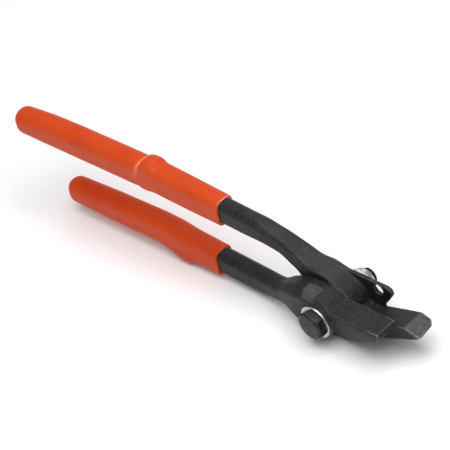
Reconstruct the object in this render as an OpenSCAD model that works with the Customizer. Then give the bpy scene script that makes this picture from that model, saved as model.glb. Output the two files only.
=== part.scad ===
// Steel strap cutter: a two-handled forged shear on one pivot bolt, with dipped grips.
// Millimetres. +X points along the tool to the jaw tips, +Z is up, and the pivot bolt lies along Y
// with its head on the -Y side. The origin is under the middle of the tool, on the surface it stands on.

/* [Levers] */
// Thickness of each lever at the pivot
lever_t = 14.5; // [14:0.1:15.2]
// Gap between the two shearing faces
shear_gap = 0.10; // [0.06:0.01:0.2]
// Radius of the round boss at the pivot
boss_r = 15.2; // [14.4:0.1:15.8]
// Radius of the flat land that the washer sits on
land_r = 10.8; // [10.6:0.1:12.5]
// Width of the exposed handle steel, across the tool
bar_w = 10.8; // [10.2:0.1:11.2]
// Height of the exposed handle steel
bar_h = 15.0; // [14.4:0.1:15.4]
// Width of the tang inside a grip
tang_w = 9.6; // [8.6:0.1:9.8]
// Height of the tang inside a grip
tang_h = 13.4; // [12:0.1:13.6]
// Corner chamfer of the handle steel
bar_c = 3.0; // [2.6:0.1:3.3]

/* [Foot and side wall] */
// Length of the foot in front of the pivot
foot_len = 60.8; // [57:0.2:64]
// Place of the ridge where the ground tip bevel starts
foot_ridge_x = 50.5; // [48:0.5:53]
// Thickness of the side wall behind the foot
wall_t = 2.3; // [2.1:0.1:3.2]
// Radius of the hanging hole in the side wall
hang_r = 3.2; // [2.4:0.1:3.4]

/* [Pivot bolt] */
// Radius of the bolt shank and thread
bolt_r = 5.0; // [4.8:0.05:5.6]
// Radial running clearance of the bolt in the levers
bolt_clear = 0.06; // [0.03:0.01:0.1]
// Width of the hexagons across the flats
hex_af = 15.8; // [15:0.1:16.6]
// Height of the bolt head
head_h = 4.6; // [4:0.1:7]
// Height of the lock nut
nut_h = 9.4; // [8:0.1:11]
// Outer radius of the two washers
washer_r = 10.0; // [9.6:0.1:10.5]
// Thickness of the two washers
washer_t = 1.6; // [1.2:0.1:2]
// Length of thread that stands out of the nut
thread_out = 3.0; // [1.5:0.1:4]

/* [Grips] */
// Place of the end of the rear grip, measured back from the pivot
rear_grip_end = 241; // [238:0.5:246]
// Place of the end of the front grip, measured back from the pivot
front_grip_end = 208; // [205:0.5:212]
// Height that the finger guards stand out
guard_h = 4.2; // [3:0.1:5]

/* [Hidden] */
$fn = 64;
eps = 0.01;
y_shear = lever_t;
y_front_back = y_shear - shear_gap / 2;
y_rear_front = y_shear + shear_gap / 2;
y_far = 2 * lever_t;
bore_r = bolt_r + bolt_clear;
y_head = -washer_t - head_h;
y_nut = y_far + washer_t;
y_thread_end = y_nut + nut_h + thread_out;
// turn about the pivot that sets the boss and the front guard on one level
stand_tilt = 3.8;
// distance from the middle of the tool's length forward to the pivot
pivot_x = 89;
shift = [pivot_x, -(y_head + y_thread_end) / 2, boss_r];
steel_col = [0.17, 0.17, 0.18];
grip_col = [0.85, 0.29, 0.14];
zinc_col = [0.72, 0.72, 0.70];

// pivot frame (pivot axis through x = z = 0, washer face at y = 0) to the part's frame
module placed() { translate(shift) rotate([0, stand_tilt, 0]) children(); }

// side-view outline (x, z) made solid between two y values
module slab(y0, y1) { translate([0, y1, 0]) rotate([90, 0, 0]) linear_extrude(y1 - y0) children(); }

// plan-view outline (x, y) made solid between two z values
module plan(z0, z1) { translate([0, 0, z0]) linear_extrude(z1 - z0) children(); }

// chamfered bar section run along x from the local origin towards -x
module bar(w, h, c, len) {
    rotate([90, 0, -90]) linear_extrude(len) polygon([
        [-w / 2, -h / 2 + c], [-w / 2 + c, -h / 2], [w / 2 - c, -h / 2], [w / 2, -h / 2 + c],
        [w / 2, h / 2 - c], [w / 2 - c, h / 2], [-w / 2 + c, h / 2], [-w / 2, h / 2 - c]]);
}

// round post along y
module post(r, y0, y1) { translate([0, y1, 0]) rotate([90, 0, 0]) cylinder(h = y1 - y0, r = r); }

// ---------------------------------------------------------------- levers
// where each grip starts and where its handle bends, as [x, z], and the angle of that bend
rear_in = [-74, 31.4];
rear_mid = [-118, 31.4];
rear_bend = 4.5;
front_in = [-84.6, -10.0];
front_mid = [-136, -10.0];
front_bend = 4.0;
// where the forged necks start
rear_neck_x = -56;
front_neck_x = -58;
// a tang stops this far short of the end of its grip
tang_short = 12;
// chamfer of a neck's corner that lies on the shearing face, and thickness of one neck slice
shear_c = 0.4;
slice_t = 0.02;
// centre of the hanging hole, as [x, z]
hang_at = [22.3, 12.9];

// outlines in side view, as [x, z]
foot_side = [
    [0, -boss_r], [13, -13.6], [24, -10.4], [34, -6.4], [foot_len - 0.4, 6.3], [foot_len, 7.1],
    [foot_ridge_x, 9.8], [24.3, 0.9], [17, 1.5], [11, 6], [0, 10]];
wall_side = [
    [0, 10], [-2, 15], [1.5, 16.2], [28.5, 17.5], [30.6, 17], [31.9, 15.6], [32.2, 14], [31.6, 12.4],
    [28.8, 8.3], [24.6, 2.6], [24, 0.4], [10, -6]];
jaw_side = [
    [0, 14.8], [-0.6, 14.8], [9.4, 10.8], [44.6, 12.4], [45.6, 9.8], [44.8, 8.2], [42.6, 6.6],
    [38.6, 4.4], [33, 0.8], [23.4, -5.6], [12.3, -11], [3.5, -14.6], [0, -15]];
// outline of the foot in plan, as [x, y]: both corners of its tip are cut off
foot_plan = [
    [0, y_rear_front], [foot_len - 1.6, y_rear_front], [foot_len, y_rear_front + 1.8],
    [foot_len - 2.6, y_far - 2], [foot_len - 4.2, y_far], [0, y_far]];
// section that the upper jaw keeps to, as [y, z]: its outer side leans in towards the bottom
jaw_section = [
    [0.3, 6], [0, 9.5], [0.5, 12], [2.2, 16], [2.2, 30], [40, 30], [40, -30], [9, -30],
    [7.6, -15.8], [6.2, -13.2], [3.8, -7], [1.6, 0]];
jaw_reach = 60;
jaw_back = 80;

module rear_tang() {
    translate([rear_in[0] + eps, y_shear, rear_in[1]])
        bar(tang_w, tang_h, bar_c, rear_in[0] - rear_mid[0] + 1);
    translate([rear_mid[0], y_shear, rear_mid[1]]) rotate([0, -rear_bend, 0])
        bar(tang_w, tang_h, bar_c, rear_grip_end + rear_mid[0] - tang_short);
}

module front_tang() {
    translate([front_in[0] + eps, y_shear, front_in[1]])
        bar(tang_w, tang_h, bar_c, front_in[0] - front_mid[0] + 1);
    translate([front_mid[0], y_shear, front_mid[1]]) rotate([0, -front_bend, 0])
        bar(tang_w, tang_h, bar_c, front_grip_end + front_mid[0] - tang_short);
}

// thin slice of a forged neck: y0..y1 wide, z0..z1 high, corners cut by cn on the near side
// and cf on the far side
module slice(x, y0, y1, z0, z1, cn, cf) {
    translate([x, 0, 0]) rotate([90, 0, 90]) linear_extrude(slice_t) polygon([
        [y0 + cn, z0], [y1 - cf, z0], [y1, z0 + cf], [y1, z1 - cf],
        [y1 - cf, z1], [y0 + cn, z1], [y0, z1 - cn], [y0, z0 + cn]]);
}

module rear_bar_end() {
    slice(rear_neck_x, y_shear - bar_w / 2, y_shear + bar_w / 2, rear_in[1] - bar_h / 2,
        rear_in[1] + bar_h / 2, bar_c, bar_c);
}
module rear_a() { slice(-45, 9.8, 20.8, 23.6, 37.6, 2.8, 2.8); }
module rear_b() { slice(-35, 12.6, 24, 19.4, 31.4, 2, 2.6); }
module rear_c() { slice(-25, y_rear_front, 27.5, 11, 23.4, shear_c, 2.4); }
module rear_d() { slice(-16.5, y_rear_front, y_far, -3, 18.2, shear_c, 1.6); }
module rear_e() { slice(-10, y_rear_front, y_far, -11, 19.2, shear_c, 1.2); }
module rear_f() { slice(0, y_rear_front, y_far, -13, 17.2, shear_c, 1.2); }

module rear_neck() {
    hull() { rear_bar_end(); rear_a(); }
    hull() { rear_a(); rear_b(); }
    hull() { rear_b(); rear_c(); }
    hull() { rear_c(); rear_d(); }
    hull() { rear_d(); rear_e(); }
    hull() { rear_e(); rear_f(); }
}

module rear_lever() {
    color(steel_col) placed() difference() {
        union() {
            translate([rear_neck_x, y_shear, rear_in[1]])
                bar(bar_w, bar_h, bar_c, rear_neck_x - rear_in[0]);
            rear_tang();
            rear_neck();
            post(boss_r, y_rear_front, y_far);
            // foot and the web that carries it
            intersection() {
                slab(y_rear_front, y_far) polygon(foot_side);
                plan(-20, 20) polygon(foot_plan);
            }
            // side wall with the hooked nose
            slab(y_far - wall_t, y_far) polygon(wall_side);
        }
        post(bore_r, 0, y_far + 1);
        translate([hang_at[0], 0, hang_at[1]]) post(hang_r, y_far - wall_t - 1, y_far + 1);
    }
}

module front_bar_end() {
    slice(front_neck_x, y_shear - bar_w / 2, y_shear + bar_w / 2, front_in[1] - bar_h / 2,
        front_in[1] + bar_h / 2, bar_c, bar_c);
}
module front_a() { slice(-45, 7.8, 18.4, -14.8, -0.8, 3, 2.6); }
module front_b() { slice(-35, 5.4, 15.6, -10.8, 2, 3.2, 1.2); }
module front_c() { slice(-27, 3, y_front_back, -8.4, 8.2, 3.6, shear_c); }
module front_d() { slice(-18, 0.8, y_front_back, -11.4, 13, 4.6, shear_c); }
module front_e() { slice(-10.5, 0.3, y_front_back, -14, 14.8, 4, shear_c); }
module front_f() { slice(-0.6, 0.3, y_front_back, -14.6, 14.8, 3, shear_c); }

module front_neck() {
    hull() { front_bar_end(); front_a(); }
    hull() { front_a(); front_b(); }
    hull() { front_b(); front_c(); }
    hull() { front_c(); front_d(); }
    hull() { front_d(); front_e(); }
    intersection() {
        hull() { front_e(); front_f(); }
        front_draft();
    }
}

// space that the front boss and the upper jaw keep to
module front_draft() {
    translate([-jaw_back, 0, 0]) rotate([90, 0, 90])
        linear_extrude(jaw_back + jaw_reach) polygon(jaw_section);
}

module front_lever() {
    color(steel_col) placed() difference() {
        union() {
            translate([front_neck_x, y_shear, front_in[1]])
                bar(bar_w, bar_h, bar_c, front_neck_x - front_in[0]);
            front_tang();
            front_neck();
            post(land_r, 0, y_front_back);
            intersection() {
                union() {
                    post(boss_r, 0, y_front_back);
                    // upper jaw
                    slab(0, y_front_back) polygon(jaw_side);
                }
                front_draft();
            }
        }
        post(bore_r, -1, y_far);
    }
}

// ---------------------------------------------------------------- grips
// sections of the grips, as [x, centre z, width, height]
rear_lip = [rear_in[0], 31.1, 12.4, 16.6];
rear_waist = [-122, 30.9, 13.6, 17.6];
rear_guard_in = [-126, 31 + guard_h / 4, 14.4, 17.4 + guard_h / 2];
rear_guard_out = [-133, 30.2 + guard_h / 4, 14.8, 17.8 + guard_h / 2];
rear_palm = [-138, 29.6, 14.2, 17];
rear_heel = [-190, 26.2, 14.2, 17];
rear_knob = [7 - rear_grip_end, 22.2, 14.4, 16];
front_lip = [front_in[0], -10.4, 12.4, 16.4];
front_waist = [-107, -10.3, 12.9, 16.8];
front_guard_in = [-111, -10.2 - guard_h / 2, 13.7, 16.4 + guard_h];
front_guard_out = [-118, -9.8 - guard_h / 3, 13.7, 17 + guard_h / 1.5];
front_palm = [-133, -9.6, 13.8, 17];
front_heel = [-172, -12.4, 13.2, 16.8];
front_knob = [6.6 - front_grip_end, -14.6, 13.6, 15.6];
grip_round = 5.4;

// thin rounded slice of a grip behind one of its sections
module ring(at) {
    for (sy = [-1, 1], sz = [-1, 1])
        translate([at[0], y_shear + sy * (at[2] / 2 - grip_round), at[1] + sz * (at[3] / 2 - grip_round)])
            rotate([0, -90, 0]) cylinder(h = slice_t, r = grip_round, $fn = 32);
}

// rounded end of a grip
module knob_end(at, r) {
    for (sy = [-1, 1], sz = [-1, 1])
        translate([at[0], y_shear + sy * (at[2] / 2 - r), at[1] + sz * (at[3] / 2 - r)])
            sphere(r = r, $fn = 32);
}

module rear_grip() {
    color(grip_col) placed() difference() {
        union() {
            hull() { ring(rear_lip); ring(rear_waist); }
            hull() { ring(rear_waist); ring(rear_guard_in); }
            hull() { ring(rear_guard_in); ring(rear_guard_out); }
            hull() { ring(rear_guard_out); ring(rear_palm); }
            hull() { ring(rear_palm); ring(rear_heel); }
            hull() { ring(rear_heel); knob_end(rear_knob, 7); }
        }
        rear_tang();
    }
}

module front_grip() {
    color(grip_col) placed() difference() {
        union() {
            hull() { ring(front_lip); ring(front_waist); }
            hull() { ring(front_waist); ring(front_guard_in); }
            hull() { ring(front_guard_in); ring(front_guard_out); }
            hull() { ring(front_guard_out); ring(front_palm); }
            hull() { ring(front_palm); ring(front_heel); }
            hull() { ring(front_heel); knob_end(front_knob, 6.6); }
        }
        front_tang();
    }
}

// ---------------------------------------------------------------- fasteners
// turn of the bolt head and the nut about the bolt
hex_turn = 42;
// depth of the cone that takes the corners off a hexagon, and how far inside the flats it starts
cone_h = 1.4;
cone_in = 0.4;
thread_c = 0.8;
nut_clear = 0.03;
washer_clear = 0.2;

// hexagon prism along y with its corners taken off by a cone at both ends
module hexagon(y0, y1) {
    intersection() {
        translate([0, y1, 0]) rotate([90, 0, 0])
            linear_extrude(y1 - y0) rotate(hex_turn) circle(r = hex_af / 2 / cos(30), $fn = 6);
        translate([0, y1, 0]) rotate([90, 0, 0]) rotate_extrude() polygon([
            [0, 0], [hex_af / 2 - cone_in, 0], [hex_af / 2 + 2, cone_h], [hex_af / 2 + 2, y1 - y0 - cone_h],
            [hex_af / 2 - cone_in, y1 - y0], [0, y1 - y0]]);
    }
}

module pivot_bolt() {
    color(zinc_col) placed() {
        hexagon(y_head, -washer_t);
        post(bolt_r, -washer_t - eps, y_thread_end - 1);
        translate([0, y_thread_end, 0]) rotate([90, 0, 0])
            cylinder(h = 1 + eps, r1 = bolt_r - thread_c, r2 = bolt_r);
    }
}

module washer(y0) {
    difference() {
        post(washer_r, y0, y0 + washer_t);
        post(bore_r + washer_clear, y0 - 1, y0 + washer_t + 1);
    }
}

module head_washer() { color(zinc_col) placed() washer(-washer_t); }

module nut_washer() { color(zinc_col) placed() washer(y_far); }

module lock_nut() {
    color(zinc_col) placed() difference() {
        hexagon(y_nut, y_nut + nut_h);
        post(bolt_r + nut_clear, y_nut - 1, y_nut + nut_h + 1);
    }
}

rear_lever();
front_lever();
rear_grip();
front_grip();
pivot_bolt();
head_washer();
nut_washer();
lock_nut();
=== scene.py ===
import math

import bmesh
import bpy
import numpy as np
from mathutils import Matrix, Vector

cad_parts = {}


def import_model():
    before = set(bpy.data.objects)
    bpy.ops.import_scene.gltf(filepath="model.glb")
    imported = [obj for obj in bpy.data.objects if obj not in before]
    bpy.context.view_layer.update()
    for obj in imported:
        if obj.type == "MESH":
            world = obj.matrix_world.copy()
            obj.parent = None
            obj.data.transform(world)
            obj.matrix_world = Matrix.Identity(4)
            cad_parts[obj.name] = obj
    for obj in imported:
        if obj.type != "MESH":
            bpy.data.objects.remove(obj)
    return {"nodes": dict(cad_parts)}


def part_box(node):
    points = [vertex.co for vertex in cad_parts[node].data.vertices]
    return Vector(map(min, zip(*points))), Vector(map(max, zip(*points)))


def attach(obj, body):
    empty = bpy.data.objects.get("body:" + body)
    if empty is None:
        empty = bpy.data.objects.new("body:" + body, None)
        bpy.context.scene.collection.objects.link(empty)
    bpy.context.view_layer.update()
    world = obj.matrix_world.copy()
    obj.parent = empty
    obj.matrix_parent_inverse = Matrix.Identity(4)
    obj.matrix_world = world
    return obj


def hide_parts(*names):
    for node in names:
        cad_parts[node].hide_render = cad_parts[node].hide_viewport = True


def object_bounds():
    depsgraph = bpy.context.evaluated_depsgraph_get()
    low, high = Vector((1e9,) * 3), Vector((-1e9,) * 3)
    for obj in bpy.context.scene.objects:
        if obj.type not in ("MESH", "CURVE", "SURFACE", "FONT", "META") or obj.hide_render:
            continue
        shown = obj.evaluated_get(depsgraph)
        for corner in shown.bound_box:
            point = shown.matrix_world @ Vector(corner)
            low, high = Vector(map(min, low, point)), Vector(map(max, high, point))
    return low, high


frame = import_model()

CAD_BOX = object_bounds()
MM = 0.001

# ------------------------------------------------------------------ the pivot frame
# Pieces are laid out in millimetres from the pivot: x along the tool before it is tilted to stand,
# y along the bolt from the face under the head washer, z up.
STAND_TILT = math.radians(3.8)
SHEAR_GAP = 0.1    # between the two shearing faces
washer_lo, washer_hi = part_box("head_washer")
nut_lo, nut_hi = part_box("lock_nut")
nut_washer_lo, nut_washer_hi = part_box("nut_washer")
bolt_lo, bolt_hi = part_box("pivot_bolt")
PIVOT = np.array([(washer_lo.x + washer_hi.x) / 2, washer_hi.y, (washer_lo.z + washer_hi.z) / 2])
LEVER_T = (nut_washer_lo.y - washer_hi.y) / MM / 2
TILT = np.array([[math.cos(STAND_TILT), 0, math.sin(STAND_TILT)], [0, 1, 0],
                 [-math.sin(STAND_TILT), 0, math.cos(STAND_TILT)]])


def to_frame(points_mm):
    """Points in millimetres from the pivot, as metres in the shared frame."""
    return np.asarray(points_mm, float) @ TILT.T * MM + PIVOT


def from_frame(points_m):
    """Points in the shared frame, as millimetres from the pivot."""
    return (np.asarray(points_m, float) - PIVOT) / MM @ TILT


# ------------------------------------------------------------------ mesh helpers
def make_object(name, points_mm, faces, body, slot, stands_for, material):
    """Smooth-shaded piece that rides on a body and stands for a CAD node."""
    mesh = bpy.data.meshes.new(name)
    mesh.from_pydata([tuple(p) for p in to_frame(points_mm)], [], faces)
    mesh.validate()
    obj = bpy.data.objects.new(name, mesh)
    bpy.context.scene.collection.objects.link(obj)
    bm = bmesh.new()
    bm.from_mesh(mesh)
    bmesh.ops.recalc_face_normals(bm, faces=bm.faces)
    bm.to_mesh(mesh)
    bm.free()
    mesh.shade_smooth()
    mesh.materials.append(material)
    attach(obj, body)
    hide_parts(stands_for)
    return obj


def loft(rings):
    """Closed surface through rings of the same point count, with a fan over each end."""
    n = len(rings[0])
    points = np.concatenate(rings)
    faces = []
    for k in range(len(rings) - 1):
        a, b = k * n, (k + 1) * n
        for i in range(n):
            j = (i + 1) % n
            faces.append((a + i, a + j, b + j, b + i))
    middles = []
    for start in (0, (len(rings) - 1) * n):
        c = len(points) + len(middles)
        middles.append(points[start:start + n].mean(0))
        for i in range(n):
            faces.append((start + i, start + (i + 1) % n, c))
    return np.concatenate([points, np.array(middles)]), faces


def soft_min(values, sharpness):
    """Smooth smallest value of positive arrays; a higher sharpness rounds less."""
    return sum(np.power(v, -sharpness) for v in values) ** (-1.0 / sharpness)


def hex_radius(angles, apothem, turn, sharpness=70):
    """Radius of a hexagon with slightly rounded corners, at each angle."""
    total = np.zeros_like(angles)
    for k in range(6):
        c = np.cos(angles - turn - math.radians(30 + 60 * k))
        total += np.where(c > 0, c, 0) ** sharpness
    return apothem / total ** (1.0 / sharpness)


def around_bolt(angles, radius, y):
    """Ring round the bolt at depth y; radius may be a number or one value per angle."""
    r = np.broadcast_to(radius, angles.shape)
    return np.stack([r * np.cos(angles), np.full_like(angles, y), r * np.sin(angles)], 1)


# ------------------------------------------------------------------ node materials
def new_material(name):
    mat = bpy.data.materials.new(name)
    mat.use_nodes = True
    nt = mat.node_tree
    return mat, nt, nt.nodes["Principled BSDF"]


def noise(nt, coords, scale, detail=4.0, rough=0.55, stretch=None):
    """Noise texture on object coordinates in metres; stretch scales the axes."""
    source = coords
    if stretch:
        mapping = nt.nodes.new("ShaderNodeMapping")
        mapping.inputs["Scale"].default_value = stretch
        nt.links.new(coords, mapping.inputs["Vector"])
        source = mapping.outputs["Vector"]
    tex = nt.nodes.new("ShaderNodeTexNoise")
    tex.inputs["Scale"].default_value = scale
    tex.inputs["Detail"].default_value = detail
    tex.inputs["Roughness"].default_value = rough
    nt.links.new(source, tex.inputs["Vector"])
    return tex.outputs["Fac"]


def ramp(nt, fac, stops):
    node = nt.nodes.new("ShaderNodeValToRGB")
    while len(node.color_ramp.elements) < len(stops):
        node.color_ramp.elements.new(0.5)
    for e, (pos, val) in zip(node.color_ramp.elements, stops):
        e.position = pos
        e.color = (val, val, val, 1) if np.isscalar(val) else (*val, 1)
    nt.links.new(fac, node.inputs["Fac"])
    return node.outputs["Color"]


def mix(nt, fac, a, b):
    node = nt.nodes.new("ShaderNodeMix")
    node.data_type = "RGBA"
    for socket, value in ((node.inputs["Factor"], fac), (node.inputs["A"], a), (node.inputs["B"], b)):
        put(nt, socket, value)
    return node.outputs["Result"]


def math_node(nt, op, a, b=0.0, clamp=False):
    node = nt.nodes.new("ShaderNodeMath")
    node.operation = op
    node.use_clamp = clamp
    put(nt, node.inputs[0], a)
    put(nt, node.inputs[1], b)
    return node.outputs["Value"]


def put(nt, socket, value):
    if isinstance(value, bpy.types.NodeSocket):
        nt.links.new(value, socket)
    elif isinstance(value, tuple):
        socket.default_value = (*value, 1) if len(value) == 3 else value
    else:
        socket.default_value = value


def bump(nt, height, distance, strength, before=None):
    node = nt.nodes.new("ShaderNodeBump")
    node.inputs["Distance"].default_value = distance
    node.inputs["Strength"].default_value = strength
    nt.links.new(height, node.inputs["Height"])
    if before is not None:
        nt.links.new(before, node.inputs["Normal"])
    return node.outputs["Normal"]


def object_coords(nt):
    return nt.nodes.new("ShaderNodeTexCoord").outputs["Object"]


def mesh_value(nt, name):
    node = nt.nodes.new("ShaderNodeAttribute")
    node.attribute_type = "GEOMETRY"
    node.attribute_name = name
    return node.outputs["Fac"]


def forged_black():
    """Black-finished forged steel: scaly grain, rubbed edges, fine marks where a wheel dressed it, and
    painted highlights and reflections on the places the lever marks give.
    """
    mat, nt, bsdf = new_material("forged_black")
    co = object_coords(nt)
    blotch = noise(nt, co, 70, 5, 0.6)
    grain = noise(nt, co, 900, 4, 0.65)
    fine = noise(nt, co, 3200, 3, 0.6)
    wear = mesh_value(nt, "wear")
    ground = mesh_value(nt, "ground")
    streak = noise(nt, co, 2600, 3, 0.6, stretch=(0.06, 1.0, 0.5))
    base = ramp(nt, blotch, [(0.3, (0.0045, 0.0045, 0.005)), (0.7, (0.0115, 0.0115, 0.012))])
    base = mix(nt, ramp(nt, grain, [(0.46, 0.0), (0.68, 0.72)]), base, (0.041, 0.041, 0.043))
    # The lighter streaked colour is wheel-dressed steel on the foot, and painted highlight and reflection
    # elsewhere on the levers.
    dressed_and_sheen_color = ramp(nt, streak, [(0.3, (0.036, 0.036, 0.037)), (0.72, (0.125, 0.125, 0.127))])
    base = mix(nt, ground, base, dressed_and_sheen_color)
    patchy = ramp(nt, noise(nt, co, 420, 4, 0.7), [(0.35, 0.15), (0.62, 1.0)])
    worn = math_node(nt, "MULTIPLY", wear, patchy, True)
    base = mix(nt, worn, base, (0.23, 0.23, 0.235))
    nt.links.new(base, bsdf.inputs["Base Color"])
    metal = math_node(nt, "ADD", math_node(nt, "MULTIPLY", worn, 0.55),
                      math_node(nt, "MULTIPLY", ground, 0.35), True)
    nt.links.new(metal, bsdf.inputs["Metallic"])
    rough = ramp(nt, grain, [(0.3, 0.44), (0.75, 0.62)])
    dressed_rough = ramp(nt, streak, [(0.3, 0.36), (0.7, 0.5)])
    nt.links.new(mix(nt, ground, rough, dressed_rough), bsdf.inputs["Roughness"])
    bsdf.inputs["Specular IOR Level"].default_value = 0.27
    normal = bump(nt, grain, 0.00035, 0.8)
    normal = bump(nt, fine, 0.00006, 0.5, normal)
    normal = bump(nt, math_node(nt, "MULTIPLY", streak, ground), 0.00012, 0.6, normal)
    nt.links.new(normal, bsdf.inputs["Normal"])
    return mat


def dipped_vinyl():
    """Orange-red dip-moulded vinyl: slight mottling, soft ripples from the dip and a satin skin."""
    mat, nt, bsdf = new_material("dipped_vinyl")
    co = object_coords(nt)
    cloud = noise(nt, co, 45, 4, 0.5)
    speck = noise(nt, co, 1100, 3, 0.5)
    ripple = noise(nt, co, 160, 3, 0.5, stretch=(0.35, 1.0, 1.0))
    painted_highlight = mesh_value(nt, "painted_highlight")
    base = ramp(nt, cloud, [(0.3, (0.535, 0.048, 0.007)), (0.7, (0.585, 0.064, 0.010))])
    base = mix(nt, ramp(nt, speck, [(0.55, 0.0), (0.8, 0.25)]), base, (0.48, 0.040, 0.008))
    # Pale painted highlight along the top of the front lip and beside the notch, from the grip's mesh
    # values.
    base = mix(nt, math_node(nt, "MULTIPLY", painted_highlight, 0.55), base, (0.82, 0.28, 0.17))
    nt.links.new(base, bsdf.inputs["Base Color"])
    nt.links.new(ramp(nt, speck, [(0.3, 0.36), (0.75, 0.50)]), bsdf.inputs["Roughness"])
    bsdf.inputs["Specular IOR Level"].default_value = 0.14
    normal = bump(nt, ripple, 0.0005, 0.35)
    normal = bump(nt, speck, 0.00005, 0.35, normal)
    nt.links.new(normal, bsdf.inputs["Normal"])
    return mat


def plated(name, light, dark, rough_low, rough_high):
    """Zinc plate or blackened bolt steel: mottled, with fine scratches."""
    mat, nt, bsdf = new_material(name)
    co = object_coords(nt)
    blotch = noise(nt, co, 260, 5, 0.6)
    scratch = noise(nt, co, 2400, 3, 0.6, stretch=(1.0, 0.25, 1.0))
    base = ramp(nt, blotch, [(0.3, dark), (0.68, light)])
    nt.links.new(base, bsdf.inputs["Base Color"])
    bsdf.inputs["Metallic"].default_value = 1.0
    nt.links.new(ramp(nt, blotch, [(0.3, rough_high), (0.7, rough_low)]), bsdf.inputs["Roughness"])
    nt.links.new(bump(nt, scratch, 0.00005, 0.4), bsdf.inputs["Normal"])
    return mat


STEEL = forged_black()
VINYL = dipped_vinyl()
ZINC = plated("zinc_plate", light=(0.66, 0.65, 0.61), dark=(0.40, 0.39, 0.36),
              rough_low=0.30, rough_high=0.46)
BOLT = plated("bolt_steel", light=(0.058, 0.0565, 0.053), dark=(0.021, 0.0205, 0.0195),
              rough_low=0.30, rough_high=0.45)


# ------------------------------------------------------------------ forged levers
VOXEL_M = 0.0005
BORE_LAND_R, BORE_LAND_EDGE = 10.9, 12.5    # the land round the bore keeps its shape
LAP_R = 16.5                                # behind the pivot, the shearing faces stay flat up to here
FACE_BAND = 0.45                            # points this close to a shearing face lie on it
PASS = 0.6                                  # strength of one smoothing round
SHRINK_BACK = 0.97                          # share of each round that is pushed out again
RUB_LOW, RUB_HIGH = 0.09, 0.26              # how proud an edge stands where rubbing starts and is full
FADE_IN, FADE_OUT, BAR_FADE = 5, 8, 10      # lengths over which the neck's smoothing comes and goes
BOSS_FADE, PUT_BACK_FADE = (26, 40), (14, 26)    # behind the pivot
BLADE_X, TIP_FADE = 10, (34, 42)            # ahead of the pivot
BLADE_EASE, LEVER_EASE, EASE_LOSS = 0.2, 0.4, 0.16
ALONG_ROUNDS, MELT_ROUNDS, EASE_ROUNDS, WIDE_ROUNDS, SPREAD_ROUNDS = 110, 40, 6, 10, 40


def relax(co, edges, weight, rounds, keep_y=None, push=0.0, share=None):
    """Laplacian smoothing with one weight per point; points in keep_y don't move along y. With push, each
    round is followed by an outward one of that strength, which stops slim parts from shrinking. Share says
    how much each edge counts."""
    a, b = edges[:, 0], edges[:, 1]
    if share is None:
        share = np.ones(len(edges))
    count = np.bincount(a, share, len(co)) + np.bincount(b, share, len(co))
    for _ in range(rounds):
        for strength in (1.0, -push):
            if not strength:
                continue
            mean = np.empty_like(co)
            for k in range(3):
                mean[:, k] = (np.bincount(a, share * co[b, k], len(co))
                              + np.bincount(b, share * co[a, k], len(co))) / count
            step = strength * weight[:, None] * (mean - co)
            if keep_y is not None:
                step[keep_y, 1] = 0
            co = co + step
    return co


def step_up(x, lo, hi):
    """Smooth step from 0 at lo to 1 at hi."""
    t = np.clip((x - lo) / (hi - lo), 0, 1)
    return t * t * (3 - 2 * t)


def between(x, rise, fall):
    """1 between two smooth steps, each given as where it starts and ends, and 0 outside them."""
    return step_up(x, *rise) * (1 - step_up(x, *fall))


def along_share(co, edges, middle):
    """Share of each edge by how well it runs along the lever's middle line, given as rows of x, z."""
    line = np.array(middle, float)
    d = co[edges[:, 1]] - co[edges[:, 0]]
    d /= np.maximum(np.linalg.norm(d, axis=1), 1e-6)[:, None]
    slope = np.interp(co[edges[:, 0], 0], (line[1:, 0] + line[:-1, 0]) / 2,
                      np.diff(line[:, 1]) / np.diff(line[:, 0]))
    along = np.abs(d[:, 0] + slope * d[:, 2]) / np.sqrt(1 + slope ** 2)
    return along ** 4 + 0.01


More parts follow.
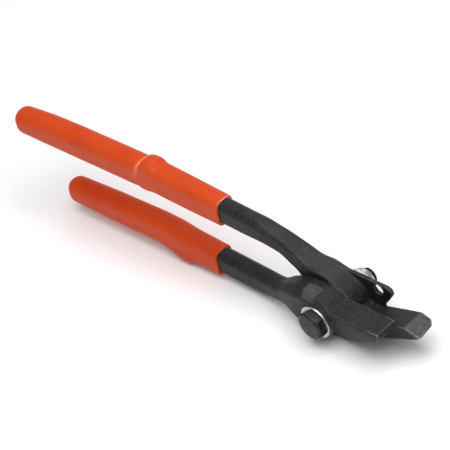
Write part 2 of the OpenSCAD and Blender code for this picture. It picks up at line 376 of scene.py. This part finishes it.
def forging(name, node, body, shear_y, neck, middle, melt, swell, marks):
    """Forged lever: the CAD solid with its facets melted together in the neck and its edges eased.

    neck is how far back from the pivot the neck starts and ends, middle its middle line, melt how much of
    the smoothing the boss end of the neck gets, swell how much of what the neck sinks is put back, and
    marks gives the dressed places with the painted highlights and reflections, and how strongly edges are
    rubbed.
    """
    source = frame["nodes"][node]
    obj = bpy.data.objects.new(name, source.data.copy())
    bpy.context.scene.collection.objects.link(obj)
    remesh = obj.modifiers.new("remesh", "REMESH")
    remesh.mode = "VOXEL"
    remesh.voxel_size = VOXEL_M
    bpy.context.view_layer.update()
    done = bpy.data.meshes.new_from_object(obj.evaluated_get(bpy.context.evaluated_depsgraph_get()))
    obj.modifiers.clear()
    obj.data = done
    done.name = name
    n = len(done.vertices)
    raw = np.empty(n * 3)
    done.vertices.foreach_get("co", raw)
    p = from_frame(raw.reshape(-1, 3))
    edges = np.empty(len(done.edges) * 2, int)
    done.edges.foreach_get("vertices", edges)
    edges = edges.reshape(-1, 2)
    rim = np.hypot(p[:, 0], p[:, 2])
    flat = np.abs(p[:, 1] - shear_y) < FACE_BAND
    p[flat, 1] = shear_y
    flat &= (rim < LAP_R) | (p[:, 0] > 0)
    # soft is where facets melt together: the neck, apart from the land round the bore
    back = -p[:, 0]
    soft = between(back, (neck[0], neck[0] + FADE_IN), (neck[1], neck[1] + FADE_OUT))
    soft = soft * step_up(rim, BORE_LAND_R, BORE_LAND_EDGE)
    soft *= 1 - (1 - melt) * (1 - step_up(back, *BOSS_FADE))
    # bar is the straight handle steel at the neck's end, which keeps more of its section
    bar = step_up(back, neck[1] - BAR_FADE, neck[1])
    # crisp is how much every edge is eased: least at the tips of the blades
    crisp = np.where(p[:, 0] > BLADE_X, BLADE_EASE - EASE_LOSS * step_up(p[:, 0], *TIP_FADE),
                     LEVER_EASE - EASE_LOSS * bar)
    before = p.copy()
    p = relax(p, edges, PASS * soft, ALONG_ROUNDS, flat, share=along_share(p, edges, middle))
    p = relax(p, edges, PASS * soft * (1 - 0.75 * bar), MELT_ROUNDS, flat, SHRINK_BACK)
    # some of the height is put back, because smoothing sinks a bent neck
    sunk = relax(before - p, edges, np.full(n, PASS), SPREAD_ROUNDS)
    p += swell * sunk * (soft * step_up(-p[:, 0], *PUT_BACK_FADE))[:, None]
    shape = relax(p, edges, crisp, EASE_ROUNDS, flat)
    wide = relax(shape, edges, np.full(n, 0.5), WIDE_ROUNDS)
    bm = bmesh.new()
    done.vertices.foreach_set("co", to_frame(shape).ravel())
    bm.from_mesh(done)
    bmesh.ops.recalc_face_normals(bm, faces=bm.faces)
    bm.normal_update()
    normals = np.array([v.normal for v in bm.verts]) @ TILT
    bm.to_mesh(done)
    bm.free()
    # an edge stands out where further smoothing would sink it, and there it is rubbed
    proud = ((shape - wide) * normals).sum(1)
    # the dressed values also carry painted highlights and reflections
    ground, rub = marks(shape, normals)
    for label, values in (("wear", rub * step_up(proud, RUB_LOW, RUB_HIGH)), ("ground", ground)):
        attribute = done.attributes.new(label, "FLOAT", "POINT")
        attribute.data.foreach_set("value", values.astype(np.float32))
    done.shade_smooth()
    done.materials.clear()
    done.materials.append(STEEL)
    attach(obj, body)
    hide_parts(node)


def rear_marks(p, normals):
    """The foot's top and its tip bevel were dressed with a wheel, and the neck's upward faces get a weak
    painted highlight; the edges of the tip are rubbed most."""
    x, up = p[:, 0], normals[:, 2]
    foot = step_up(x, 22, 27) * step_up(up, 0.5, 0.8) * (p[:, 2] < 11)
    tip = step_up(x, 49.5, 50.8)
    # neck_top: painted highlight on the upward faces of the neck
    neck_top = between(x, (-50, -36), (-2, 5)) * step_up(up, 0.4, 0.8)
    ground = foot * (0.08 + 0.78 * tip) + 0.26 * neck_top
    rub = 0.45 + 0.45 * step_up(x, 44, 48)
    return ground, rub


def front_marks(p, normals):
    """A painted highlight lies on the near half of the boss's top, and a weaker painted reflection on the
    underside behind the boss; the edges of the jaw's end are rubbed most."""
    x, up = p[:, 0], normals[:, 2]
    # facet: painted highlight on the near half of the boss's top
    facet = (between(x, (-11, -10), (-0.8, -0.2)) * step_up(p[:, 2], 11.5, 12.5)
             * (1 - step_up(p[:, 1], 8.5, 10.5)))
    # cheek: painted reflection of the floor on the downward faces behind the boss
    cheek = between(x, (-25, -21), (-11, -9)) * step_up(-up, 0.25, 0.5) * (1 - step_up(p[:, 1], 8, 10))
    ground = 0.75 * facet + 0.3 * cheek
    rub = 0.3 + 0.7 * step_up(x, 36, 41)
    return ground, rub


# middle lines of the necks, as x, z
REAR_LINE = [(-80, 31.4), (-56, 31.4), (-45, 30.6), (-35, 25.4), (-25, 17.2), (-16.5, 8), (-10, 4), (0, 2)]
FRONT_LINE = [(-90, -10), (-58, -10), (-45, -7.8), (-35, -4.4), (-27, 0), (-18, 0.8), (0, 0)]
forging("rear_forging", "rear_lever", "rear", LEVER_T + SHEAR_GAP / 2, (-6, 62), REAR_LINE,
        melt=1.0, swell=1.0, marks=rear_marks)
forging("front_forging", "front_lever", "front", LEVER_T - SHEAR_GAP / 2, (6, 64), FRONT_LINE,
        melt=0.12, swell=0.6, marks=front_marks)


# ------------------------------------------------------------------ dipped grips
RING_STEP = 0.7
END_RINGS = 12
# the rolled lip at the front of a grip, as (inset, x from the grip's front edge)
LIP = ((2.2, -0.35), (0.75, 0.0), (0.28, 0.0), (0.06, -0.3))


def section(width, top, bottom, corner, count=72):
    """Rounded rectangle round a handle bar: y about the lever's middle plane and z, one row per angle."""
    middle, hw, hh = (top + bottom) / 2, width / 2, (top - bottom) / 2
    corner = min(corner, hw * 0.98, hh * 0.98)
    angles = np.linspace(0, 2 * math.pi, count, endpoint=False)
    c, s = np.abs(np.cos(angles)), np.abs(np.sin(angles))
    with np.errstate(divide="ignore"):
        r = np.minimum(hw / c, hh / s)
    # where the ray leaves through a corner, it meets that corner's circle
    cy, cz = hw - corner, hh - corner
    inside = c * cy + s * cz
    arc = inside + np.sqrt(np.maximum(inside ** 2 - cy ** 2 - cz ** 2 + corner ** 2, 0))
    r = np.where((r * c > cy) & (r * s > cz), arc, r)
    return np.stack([r * np.cos(angles), r * np.sin(angles) + middle], 1), angles


def grip(name, node, body, stations, end_x, creases, lip):
    """Dip-moulded grip lofted through stations (x, width, top, bottom, corner radius).

    Each entry of creases is (x, depth, width, slant, angle where it is deepest); lip is how strong the
    painted highlight along the top of the front lip is, and a painted highlight also lies beside each
    notch.
    """
    table = np.array(stations, float)[::-1]
    start_x, last_x = stations[0][0], stations[-1][0]
    xs = np.concatenate([np.arange(start_x, last_x, -RING_STEP), [last_x]])
    rings, marks = [], []
    w, t, b, c = stations[0][1:]
    lip_middle = (t + b) / 2
    for inset, ahead in LIP:
        ring, angles = section(w - 2 * inset, t - inset, b + inset, c - inset * 0.6)
        rings.append(np.column_stack([np.full(len(ring), start_x + ahead),
                                      ring[:, 0] + LEVER_T, ring[:, 1]]))
        # painted highlight along the top of the lip
        marks.append(lip * np.clip(np.sin(angles + 0.05), 0, 1) ** 4)
    for x in xs[1:]:
        w, t, b, c = [np.interp(x, table[:, 0], table[:, k]) for k in range(1, 5)]
        ring, angles = section(w, t, b, c)
        px = np.full(len(ring), x)
        mid = np.array([0, (t + b) / 2])
        mark = np.zeros(len(ring))
        for cx, depth, width, slant, peak in creases:
            # it leans back as it runs down the side
            fade = 0.5 + 0.5 * np.cos(angles - peak)
            centre = cx - slant * (1 - np.sin(angles)) / 2
            g = np.exp(-((px - centre) / width) ** 2) * fade ** 0.8
            ring = mid + (ring - mid) * (1 - g * depth / np.linalg.norm(ring - mid, axis=1))[:, None]
            # painted highlight on the outboard flank of the notch, fading down the side
            mark = np.maximum(mark, np.exp(-((px - centre + width * 1.1) / (width * 0.9)) ** 2) * fade ** 2)
        rings.append(np.column_stack([px, ring[:, 0] + LEVER_T, ring[:, 1]]))
        marks.append(mark)
    w, t, b, c = stations[-1][1:]
    reach = last_x - end_x
    for k in range(1, END_RINGS + 1):
        a = k / END_RINGS * math.pi / 2
        cut = (reach - 0.1) * (1 - math.cos(a))
        ring, _ = section(w - 2 * cut, t - cut, b + cut, c - cut * 0.8)
        rings.append(np.column_stack([np.full(len(ring), last_x - reach * math.sin(a)),
                                      ring[:, 0] + LEVER_T, ring[:, 1]]))
        marks.append(np.zeros(len(ring)))
    points, faces = loft(rings)
    # dip line: the front edge wanders a little
    front = np.abs(points[:, 0] - start_x) < 0.5
    turn = np.arctan2(points[:, 2] - lip_middle, points[:, 1] - LEVER_T)
    points[front, 0] -= (0.18 + 0.12 * np.sin(3 * turn + 0.8) + 0.08 * np.sin(7 * turn))[front]
    obj = make_object(name, points, faces, body, "grip_vinyl", node, VINYL)
    values = np.concatenate([np.concatenate(marks), np.zeros(2)])
    attribute = obj.data.attributes.new("painted_highlight", "FLOAT", "POINT")
    attribute.data.foreach_set("value", values.astype(np.float32))


REAR_GRIP = [  # x, width, top, bottom, corner radius
    (-74.0, 12.6, 39.5, 22.7, 4.0), (-98, 13.2, 39.6, 22.3, 4.1), (-118, 13.7, 39.7, 22.1, 4.4),
    (-122.6, 13.8, 39.8, 22.0, 4.8), (-123.8, 13.9, 40.4, 21.9, 5.0), (-125.2, 14.0, 41.8, 21.7, 5.3),
    (-127.5, 14.2, 42.3, 21.3, 5.4), (-130.5, 14.4, 41.9, 20.7, 5.4), (-133.4, 14.5, 40.9, 20.5, 5.4),
    (-135.4, 14.3, 39.2, 20.7, 5.4), (-137.2, 14.4, 38.6, 20.9, 5.4), (-150, 14.5, 37.9, 20.2, 5.5),
    (-190, 14.6, 35.2, 17.6, 5.7), (-215, 14.7, 32.9, 15.8, 6.0), (-233.8, 14.7, 30.4, 14.2, 6.9)]
FRONT_GRIP = [
    (-84.6, 12.6, -2.2, -18.7, 4.0), (-100, 12.9, -2.0, -18.9, 4.1), (-104.5, 13.0, -1.9, -19.8, 4.4),
    (-108, 13.5, -1.8, -22.0, 4.8), (-111.5, 13.9, -1.6, -22.7, 5.2), (-115, 14.0, -1.2, -22.3, 5.2),
    (-120, 14.0, -0.9, -20.6, 5.0), (-126, 14.0, -0.9, -19.0, 5.0), (-133, 14.0, -1.0, -18.3, 5.1),
    (-172, 13.5, -3.9, -21.0, 5.4), (-201.2, 13.7, -6.8, -22.5, 6.5)]
REAR_END, FRONT_END = -240.9, -207.9
grip("rear_dip", "rear_grip", "rear", REAR_GRIP, REAR_END,
     creases=[(-135.0, 1.6, 0.9, 3.0, math.radians(115))], lip=1.6)
grip("front_dip", "front_grip", "front", FRONT_GRIP, FRONT_END, creases=[], lip=0.25)


# ------------------------------------------------------------------ fasteners
TURNS = np.linspace(0, 2 * math.pi, 192, endpoint=False)
HEX_TURN = math.radians(42)
APOTHEM = 7.9
HEAD_FACE_R, NUT_FACE_R = 7.25, 7.3    # where the corner cones start on the two faces
CONE = math.tan(math.radians(30))
HEAD_STEPS = (0.05, 0.15, 0.3, 0.5, 0.7, 0.9, 1.1, 1.4, 2.0, 3.0, 4.0)
NUT_STEPS = (0.08, 0.2, 0.4, 0.7, 1.0, 1.4)
COLLAR_H = 2.7
THREAD_R, THREAD_DEPTH, PITCH = 4.98, 0.62, 1.5
RINGS_PER_TURN = 12
WASHER_R = (washer_hi.x - washer_lo.x) / 2 / MM - 0.02
WASHER_BORE_R, NUT_BORE_R = 5.3, 5.04
WASHER_EDGE = 0.3
SHARP = math.radians(38)


def along_bolt(y_m):
    """A place along Y in the shared frame, as millimetres from the face under the head washer."""
    return (y_m - washer_hi.y) / MM


Y_HEAD_FRONT, Y_HEAD_BACK = along_bolt(bolt_lo.y), along_bolt(washer_lo.y)
Y_NUT_FRONT, Y_NUT_BACK, Y_THREAD_END = along_bolt(nut_lo.y), along_bolt(nut_hi.y), along_bolt(bolt_hi.y)


def chamfered_hex(depth, face_r):
    """Ring of a hexagon at a depth under its face, with its corners turned off by a 30 degree cone."""
    cone = np.full(len(TURNS), face_r + depth / CONE)
    return soft_min([hex_radius(TURNS, APOTHEM, HEX_TURN), cone], 60)


def bolt_rings():
    """Rings from the middle of the head's face to the end of the thread."""
    rings = [around_bolt(TURNS, r, Y_HEAD_FRONT) for r in (2.0, 5.0, 7.15)]
    for d in HEAD_STEPS:
        rings.append(around_bolt(TURNS, chamfered_hex(d, HEAD_FACE_R), Y_HEAD_FRONT + d))
    under = chamfered_hex(HEAD_STEPS[-1], HEAD_FACE_R) - 0.05
    y = Y_NUT_FRONT + 1.0
    for r, place in ((under, Y_HEAD_BACK - 0.35), (7.5, Y_HEAD_BACK - 0.3), (7.45, Y_HEAD_BACK),
                     (5.0, Y_HEAD_BACK), (THREAD_R, Y_HEAD_BACK + 0.1), (THREAD_R, y)):
        rings.append(around_bolt(TURNS, r, place))
    # the thread: a groove that winds round, starts gently in the nut and runs out in the end cone
    while y < Y_THREAD_END - 0.05:
        phase = ((y - Y_NUT_FRONT) / PITCH - TURNS / (2 * math.pi)) % 1.0
        groove = THREAD_DEPTH * np.clip(1.25 * (1 - np.abs(2 * phase - 1)) - 0.12, 0, 1)
        start = step_up(np.array([y]), Y_NUT_FRONT + 1, Y_NUT_FRONT + 2.5)[0]
        end_cone = THREAD_R - 0.9 + max(0.0, Y_THREAD_END - y) * 1.2
        r = np.minimum(THREAD_R - groove * start, end_cone)
        rings.append(around_bolt(TURNS, r, y))
        y += PITCH / RINGS_PER_TURN
    for r, place in ((THREAD_R - 0.95, Y_THREAD_END), (THREAD_R - 1.3, Y_THREAD_END),
                     (1.5, Y_THREAD_END - 0.05)):
        rings.append(around_bolt(TURNS, r, place))
    return rings


def ring_solid(rings):
    """Solid of revolution with a through hole: the rings close on themselves."""
    n, m = len(rings[0]), len(rings)
    faces = [(k * n + i, k * n + (i + 1) % n, (k + 1) % m * n + (i + 1) % n, (k + 1) % m * n + i)
             for k in range(m) for i in range(n)]
    return np.concatenate(rings), faces


def washer_rings(y0, y1):
    """Washer with a rolled edge in front and a sharper one behind."""
    outer, inner, e = WASHER_R, WASHER_BORE_R, WASHER_EDGE
    profile = [(outer - e, y0), (outer - e * 0.3, y0 + e * 0.3), (outer, y0 + e), (outer, y1 - e * 0.7),
               (outer - 0.12, y1), (inner + 0.12, y1), (inner, y1 - 0.2), (inner, y0 + e),
               (inner + e * 0.3, y0 + e * 0.3), (inner + e, y0), ((outer + inner) / 2, y0)]
    return [around_bolt(TURNS, r, y) for r, y in profile]


def nut_rings():
    """Hexagon with coned faces, a rounded collar behind it and a bore through both."""
    y0, y1, bore = Y_NUT_FRONT, Y_NUT_BACK, NUT_BORE_R
    hex_end = y1 - COLLAR_H
    rings = [around_bolt(TURNS, NUT_FACE_R, y0)]
    for d in NUT_STEPS:
        rings.append(around_bolt(TURNS, chamfered_hex(d, NUT_FACE_R), y0 + d))
    for d in (*reversed(NUT_STEPS), 0.0):
        rings.append(around_bolt(TURNS, chamfered_hex(d, NUT_FACE_R), hex_end - d))
    for r, y in ((7.15, hex_end + 0.1), (7.05, hex_end + 0.35), (7.0, hex_end + 1.2), (6.85, hex_end + 1.9),
                 (6.5, hex_end + 2.4), (6.05, y1 - 0.06), (5.7, y1), (5.3, y1 - 0.15), (bore, y1 - 0.5),
                 (bore, y0 + 0.6), (5.5, y0)):
        rings.append(around_bolt(TURNS, r, y))
    return rings


def fastener(name, node, slot, shape, material):
    """Turned or hexagonal piece on the bolt's axis, with its sharp edges kept."""
    piece = make_object(name, *shape, "rear", slot, node, material)
    piece.data.set_sharp_from_angle(angle=SHARP)


head_washer_rings = washer_rings(along_bolt(washer_lo.y), 0)
nut_washer_rings = washer_rings(along_bolt(nut_washer_lo.y), along_bolt(nut_washer_hi.y))
fastener("hex_bolt", "pivot_bolt", "bolt_steel", loft(bolt_rings()), BOLT)
fastener("nylon_ring_nut", "lock_nut", "zinc_plate", ring_solid(nut_rings()), ZINC)
fastener("head_washer_plate", "head_washer", "zinc_plate", ring_solid(head_washer_rings), ZINC)
fastener("nut_washer_plate", "nut_washer", "zinc_plate", ring_solid(nut_washer_rings), ZINC)


# ------------------------------------------------------------------ floor, lights and camera
FLOOR_HALF_M, FLOOR_BELOW_M = 12, 0.0002
GLOW_SPAN_M = 4.0


def floor():
    """Wide pale floor just under the tool."""
    mesh = bpy.data.meshes.new("floor")
    s = FLOOR_HALF_M
    mesh.from_pydata([(-s, -s, 0), (s, -s, 0), (s, s, 0), (-s, s, 0)], [], [(0, 1, 2, 3)])
    obj = bpy.data.objects.new("floor", mesh)
    bpy.context.scene.collection.objects.link(obj)
    obj.location.z = min(CAD_BOX[0].z, 0) - FLOOR_BELOW_M
    mat, nt, bsdf = new_material("floor_paper")
    tint = ramp(nt, noise(nt, object_coords(nt), 6, 3), [(0.3, (0.86, 0.86, 0.86)), (0.7, (0.9, 0.9, 0.9))])
    nt.links.new(tint, bsdf.inputs["Base Color"])
    bsdf.inputs["Roughness"].default_value = 0.85
    bsdf.inputs["Specular IOR Level"].default_value = 0.2
    # the softboxes fade with distance, so the far floor glows a little to stay pale
    away = nt.nodes.new("ShaderNodeVectorMath")
    away.operation = "LENGTH"
    nt.links.new(object_coords(nt), away.inputs[0])
    reach = math_node(nt, "DIVIDE", away.outputs["Value"], GLOW_SPAN_M, True)
    bsdf.inputs["Emission Color"].default_value = (1, 1, 1, 1)
    nt.links.new(ramp(nt, reach, [(0.1, 0.0), (0.25, 0.35), (0.4, 0.55), (0.75, 0.66)]),
                 bsdf.inputs["Emission Strength"])
    mesh.materials.append(mat)


def softbox(name, place, target, size, power):
    """Square area light of a given size in metres and power in watts, turned to its target."""
    light = bpy.data.lights.new(name, "AREA")
    light.shape = "SQUARE"
    light.size = size
    light.energy = power
    obj = bpy.data.objects.new(name, light)
    bpy.context.scene.collection.objects.link(obj)
    obj.location = place
    obj.rotation_euler = (Vector(target) - Vector(place)).to_track_quat("-Z", "Y").to_euler()


def world():
    """Dim, slightly blue surroundings that the camera sees as white."""
    w = bpy.data.worlds.new("studio")
    bpy.context.scene.world = w
    w.use_nodes = True
    nt = w.node_tree
    back = nt.nodes["Background"]
    back.inputs["Color"].default_value = (0.9, 0.93, 1.0, 1)
    back.inputs["Strength"].default_value = 0.30
    seen = nt.nodes.new("ShaderNodeBackground")
    seen.inputs["Color"].default_value = (1, 1, 1, 1)
    seen.inputs["Strength"].default_value = 0.95
    path = nt.nodes.new("ShaderNodeLightPath")
    both = nt.nodes.new("ShaderNodeMixShader")
    nt.links.new(path.outputs["Is Camera Ray"], both.inputs["Fac"])
    nt.links.new(back.outputs["Background"], both.inputs[1])
    nt.links.new(seen.outputs["Background"], both.inputs[2])
    nt.links.new(both.outputs["Shader"], nt.nodes["World Output"].inputs["Surface"])


floor()
world()
softbox("overhead", place=(0.4, -0.15, 1.4), target=(0, 0, 0), size=1.5, power=26)
softbox("front_fill", place=(0.6, -1.3, 0.9), target=(0, 0, 0.02), size=0.9, power=2.6)
softbox("back_edge", place=(-0.7, 1.2, 0.9), target=(0, 0, 0.02), size=0.8, power=4)

# The camera: a long lens that looks down past the jaws along the handles. Its directions are given in
# the pivot frame.
RIGHT = np.array([0.709, 0.683, -0.175])
RIGHT /= np.linalg.norm(RIGHT)
DOWN = np.array([0.364, -0.568, -0.738])
DOWN -= RIGHT * (DOWN @ RIGHT)
DOWN /= np.linalg.norm(DOWN)
AHEAD = np.cross(RIGHT, DOWN)
DISTANCE_MM = 1755.0
OFF_RIGHT_MM, OFF_DOWN_MM = 48.4, 50.5    # how far the pivot lies from the middle of the view
SENSOR_MM, LENS_MM = 36, 266.67
NEAR_M, FAR_M = 0.05, 60
eye = to_frame([-DISTANCE_MM * AHEAD - OFF_RIGHT_MM * RIGHT - OFF_DOWN_MM * DOWN])[0]
camera = bpy.data.cameras.new("camera")
camera.sensor_width = SENSOR_MM
camera.lens = LENS_MM
camera.clip_start, camera.clip_end = NEAR_M, FAR_M
cam_obj = bpy.data.objects.new("camera", camera)
bpy.context.scene.collection.objects.link(cam_obj)
axes = np.stack([TILT @ RIGHT, TILT @ -DOWN, TILT @ -AHEAD], 1)
cam_obj.matrix_world = Matrix.Translation(Vector(eye)) @ Matrix(axes.tolist()).to_4x4()
bpy.context.scene.camera = cam_obj
bpy.context.scene.view_settings.view_transform = "Standard"
bpy.context.scene.view_settings.look = "None"
